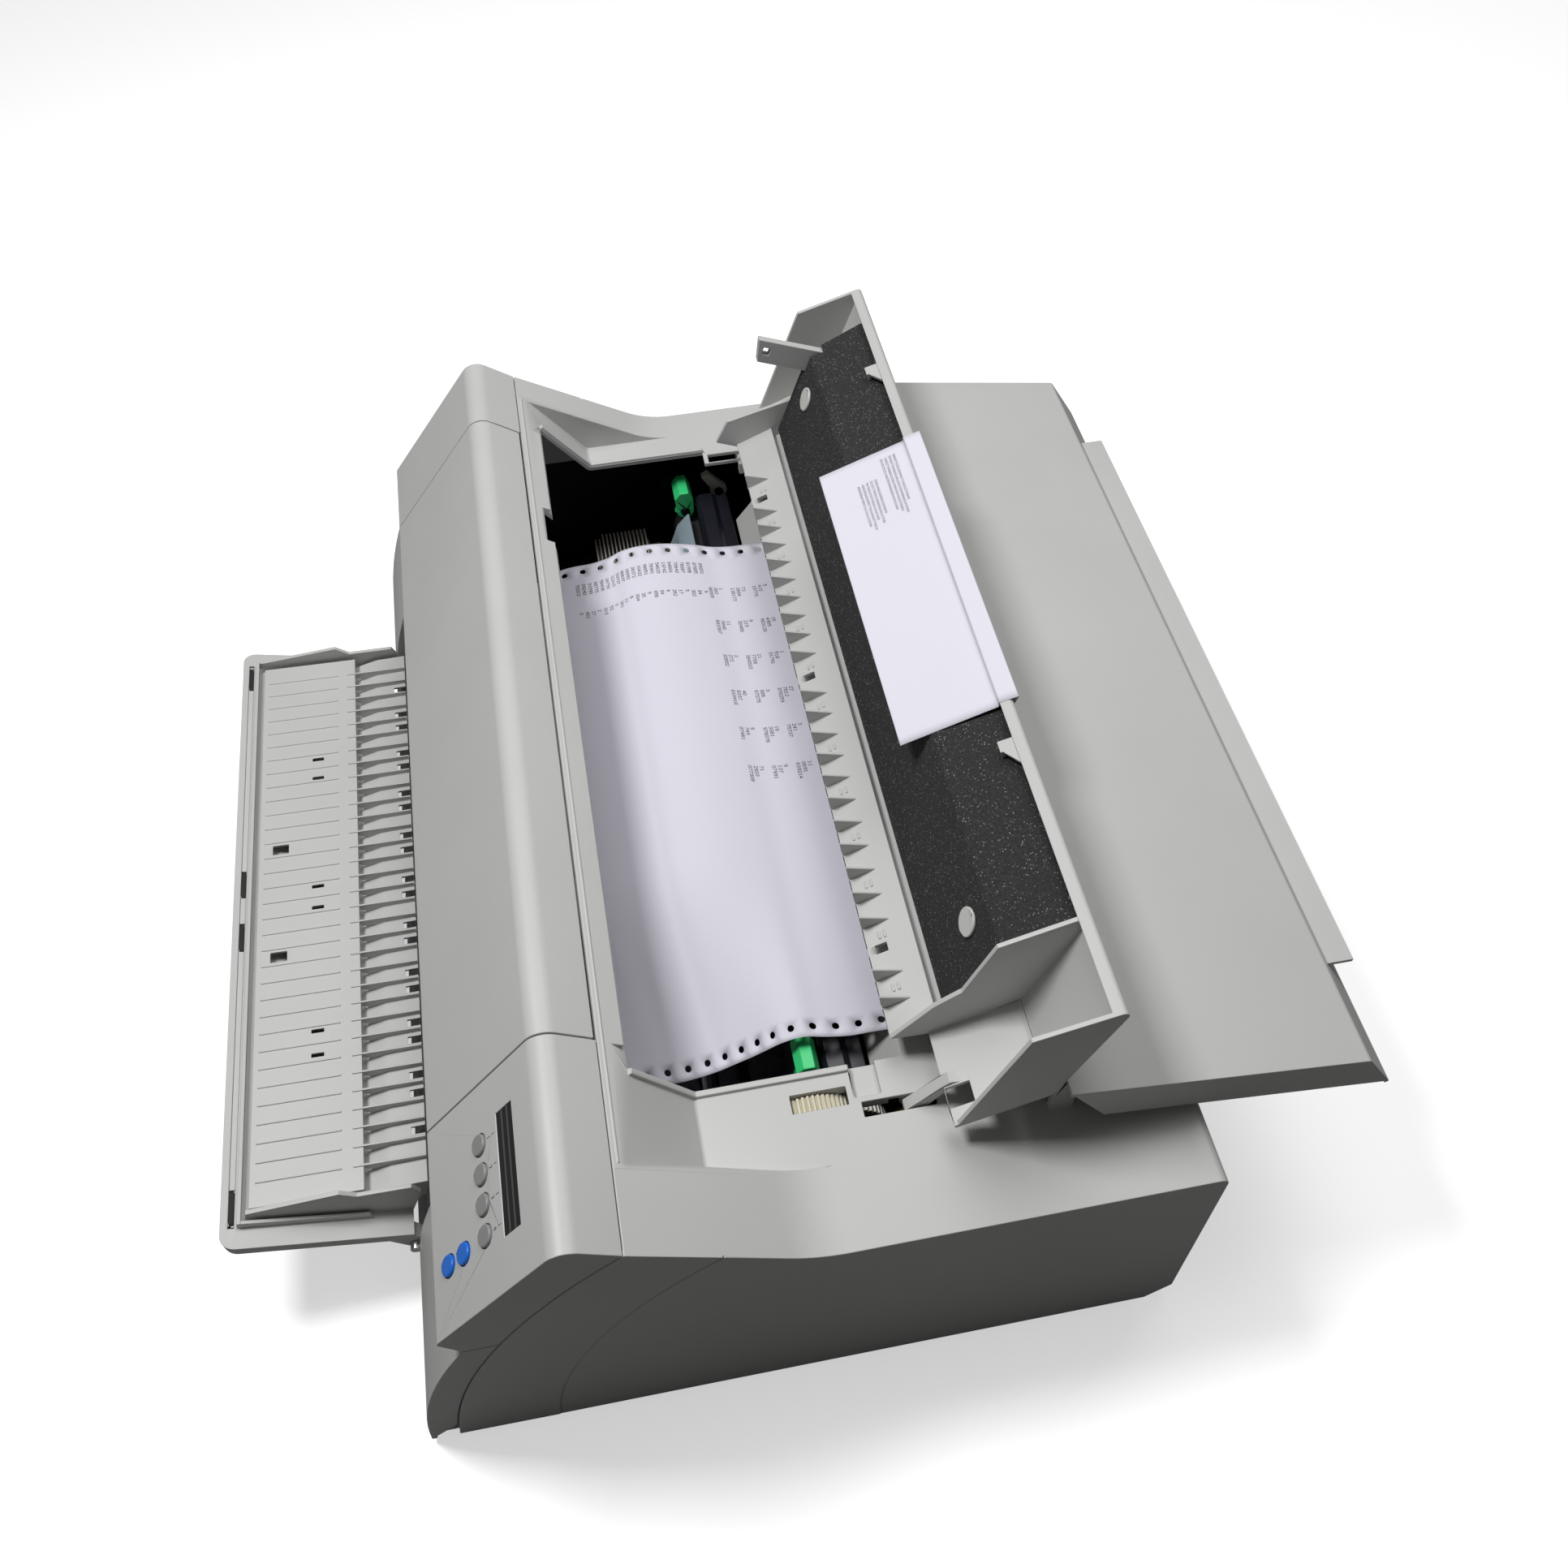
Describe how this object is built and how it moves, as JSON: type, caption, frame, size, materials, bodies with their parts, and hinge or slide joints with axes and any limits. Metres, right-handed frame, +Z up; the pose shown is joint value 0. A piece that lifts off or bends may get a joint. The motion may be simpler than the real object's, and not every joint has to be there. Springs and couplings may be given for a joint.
{
  "type": "dot matrix printer",
  "caption": "Wide-carriage dot matrix printer: hinged top cover standing open, folding front paper table, lifting rear panel, print head on a shaft and a platen with gears.",
  "frame": {"origin": "on the floor under the middle of the whole footprint, table down and rear panel down", "axes": "+X the printer's right as its user faces it, +Y its back, +Z up"},
  "size_m": [0.614, 0.604, 0.2704],
  "materials": {
    "case_plastic": "fine satin texture",
    "zinc_steel": "satin",
    "rubber_feet": "matt",
    "smoked_window": "gloss",
    "grey_keys": "satin",
    "blue_keys": "satin",
    "circuit_board": "satin",
    "foam": "matt, open-celled",
    "pale_plastic": "satin",
    "bright_steel": "polished",
    "sheet_paper": "matt",
    "dark_steel": "satin",
    "dark_plastic": "satin",
    "bush_bronze": "satin",
    "dark_aluminium": "anodised",
    "clear_plastic": "gloss",
    "cassette_plastic": "satin",
    "green_plastic": "satin",
    "cream_plastic": "satin",
    "belt_rubber": "matt",
    "pulley_aluminium": "satin",
    "platen_rubber": "matt",
    "pinion_brass": "satin"
  },
  "bodies": {
    "printer_base": {"base_pan": "zinc_steel", "feet": "rubber_feet", "housing": "case_plastic", "lower_front": "case_plastic", "hood_left_cap": "case_plastic", "hood_cover": "case_plastic", "control_hood": "case_plastic", "display_window": "smoked_window", "key_board": "circuit_board", "cover_pins": "bright_steel", "rear_pins": "bright_steel", "flap_pins": "bright_steel", "left_frame": "dark_steel", "right_frame": "dark_steel", "cross_beams": "zinc_steel", "carriage_shaft": "bright_steel", "ribbon_cassette": "cassette_plastic", "carriage_belt": "belt_rubber", "carriage_motor": "dark_steel", "platen_bushes": "pale_plastic", "feed_motor": "dark_steel", "logic_board": "circuit_board", "power_supply": "zinc_steel", "power_inlet": "dark_plastic", "interface_port": "zinc_steel", "rear_paper_guide": "cream_plastic", "paper": "sheet_paper", "screws": "zinc_steel"},
    "cover": {"top_cover": "case_plastic", "cover_comb": "case_plastic", "cover_foam": "foam", "foam_buttons": "pale_plastic", "leaflet": "sheet_paper"},
    "rear_panel_body": {"rear_panel": "case_plastic"},
    "extension_body": {"rear_extension": "case_plastic"},
    "paper_table": {"front_flap": "case_plastic", "flap_guide": "case_plastic"},
    "carriage_body": {"carriage": "dark_plastic", "carriage_bushes": "bush_bronze", "print_head": "dark_aluminium", "head_fins": "dark_aluminium", "ribbon_guide": "clear_plastic"},
    "drive_pulley_body": {"drive_pulley": "pulley_aluminium"},
    "idler_pulley_body": {"idler_pulley": "pulley_aluminium"},
    "platen_body": {"platen": "platen_rubber", "platen_shaft": "bright_steel", "platen_gear": "pale_plastic"},
    "thumbwheel_body": {"thumbwheel": "cream_plastic"},
    "pinion_body": {"feed_pinion": "pinion_brass"},
    "left_lever_body": {"left_release_lever": "green_plastic"},
    "right_lever_body": {"right_release_lever": "green_plastic"},
    "gap_lever_body": {"gap_lever": "cream_plastic"},
    "switch_body": {"power_switch": "dark_plastic"},
    "softkey_1_body": {"softkey_1": "grey_keys"},
    "softkey_2_body": {"softkey_2": "grey_keys"},
    "softkey_3_body": {"softkey_3": "grey_keys"},
    "softkey_4_body": {"softkey_4": "grey_keys"},
    "menu_key_body": {"menu_key": "blue_keys"},
    "online_key_body": {"online_key": "blue_keys"}
  },
  "joints": [
    {"name": "cover_hinge", "type": "hinge", "parent": "printer_base", "child": "cover", "pos_m": [0, 0.061, 0.161], "axis": [1, 0, 0], "range_deg": [0, 111]},
    {"name": "rear_panel_hinge", "type": "hinge", "parent": "printer_base", "child": "rear_panel_body", "pos_m": [0, 0.1315, 0.1985], "axis": [1, 0, 0], "range_deg": [0, 25]},
    {"name": "extension_slide", "type": "slide", "parent": "rear_panel_body", "child": "extension_body", "axis": [0, 1, 0], "range_m": [0, 0.07]},
    {"name": "paper_table_hinge", "type": "hinge", "parent": "printer_base", "child": "paper_table", "pos_m": [0, -0.207, 0.048], "axis": [-1, 0, 0], "range_deg": [0, 82.5]},
    {"name": "carriage_slide", "type": "slide", "parent": "printer_base", "child": "carriage_body", "axis": [1, 0, 0], "range_m": [0, 0.376]},
    {"name": "drive_pulley_spin", "type": "hinge", "parent": "printer_base", "child": "drive_pulley_body", "pos_m": [0.192, -0.012, 0.027], "axis": [0, 1, 0], "range_deg": [0, 3095]},
    {"name": "idler_pulley_spin", "type": "hinge", "parent": "printer_base", "child": "idler_pulley_body", "pos_m": [-0.268, -0.012, 0.027], "axis": [0, 1, 0], "range_deg": [0, 3095]},
    {"name": "platen_spin", "type": "hinge", "parent": "printer_base", "child": "platen_body", "pos_m": [0, 0.026, 0.095], "axis": [1, 0, 0], "continuous": true},
    {"name": "thumbwheel_spin", "type": "hinge", "parent": "printer_base", "child": "thumbwheel_body", "pos_m": [0.229, 0.01179, 0.13875], "axis": [1, 0, 0], "continuous": true},
    {"name": "pinion_spin", "type": "hinge", "parent": "printer_base", "child": "pinion_body", "pos_m": [0.214, 0.064, 0.095], "axis": [1, 0, 0], "continuous": true},
    {"name": "left_lever_turn", "type": "hinge", "parent": "printer_base", "child": "left_lever_body", "pos_m": [-0.264, 0.017, 0.122], "axis": [1, 0, 0], "range_deg": [0, 60]},
    {"name": "right_lever_turn", "type": "hinge", "parent": "printer_base", "child": "right_lever_body", "pos_m": [0.188, 0.017, 0.122], "axis": [1, 0, 0], "range_deg": [0, 60]},
    {"name": "gap_lever_turn", "type": "hinge", "parent": "printer_base", "child": "gap_lever_body", "pos_m": [-0.277, 0.044, 0.119], "axis": [1, 0, 0], "range_deg": [0, 30]},
    {"name": "power_switch_rock", "type": "hinge", "parent": "printer_base", "child": "switch_body", "pos_m": [0.19, 0.199, 0.036], "axis": [1, 0, 0], "range_deg": [0, 20]},
    {"name": "softkey_1_press", "type": "slide", "parent": "printer_base", "child": "softkey_1_body", "axis": [0, 0.7809, -0.6247], "range_m": [0, 0.0012], "stiffness_N_per_m": 400},
    {"name": "softkey_2_press", "type": "slide", "parent": "printer_base", "child": "softkey_2_body", "axis": [0, 0.7809, -0.6247], "range_m": [0, 0.0012], "stiffness_N_per_m": 400},
    {"name": "softkey_3_press", "type": "slide", "parent": "printer_base", "child": "softkey_3_body", "axis": [0, 0.7809, -0.6247], "range_m": [0, 0.0012], "stiffness_N_per_m": 400},
    {"name": "softkey_4_press", "type": "slide", "parent": "printer_base", "child": "softkey_4_body", "axis": [0, 0.7809, -0.6247], "range_m": [0, 0.0012], "stiffness_N_per_m": 400},
    {"name": "menu_key_press", "type": "slide", "parent": "printer_base", "child": "menu_key_body", "axis": [0, 0.7809, -0.6247], "range_m": [0, 0.0012], "stiffness_N_per_m": 400},
    {"name": "online_key_press", "type": "slide", "parent": "printer_base", "child": "online_key_body", "axis": [0, 0.7809, -0.6247], "range_m": [0, 0.0012], "stiffness_N_per_m": 400}
  ],
  "couplings": [
    {"joint": "drive_pulley_spin", "follows": "carriage_slide", "rad_per_m": 142.86},
    {"joint": "idler_pulley_spin", "follows": "carriage_slide", "rad_per_m": 142.86},
    {"joint": "thumbwheel_spin", "follows": "platen_spin", "ratio": -1.875},
    {"joint": "pinion_spin", "follows": "platen_spin", "ratio": -3.75}
  ]
}
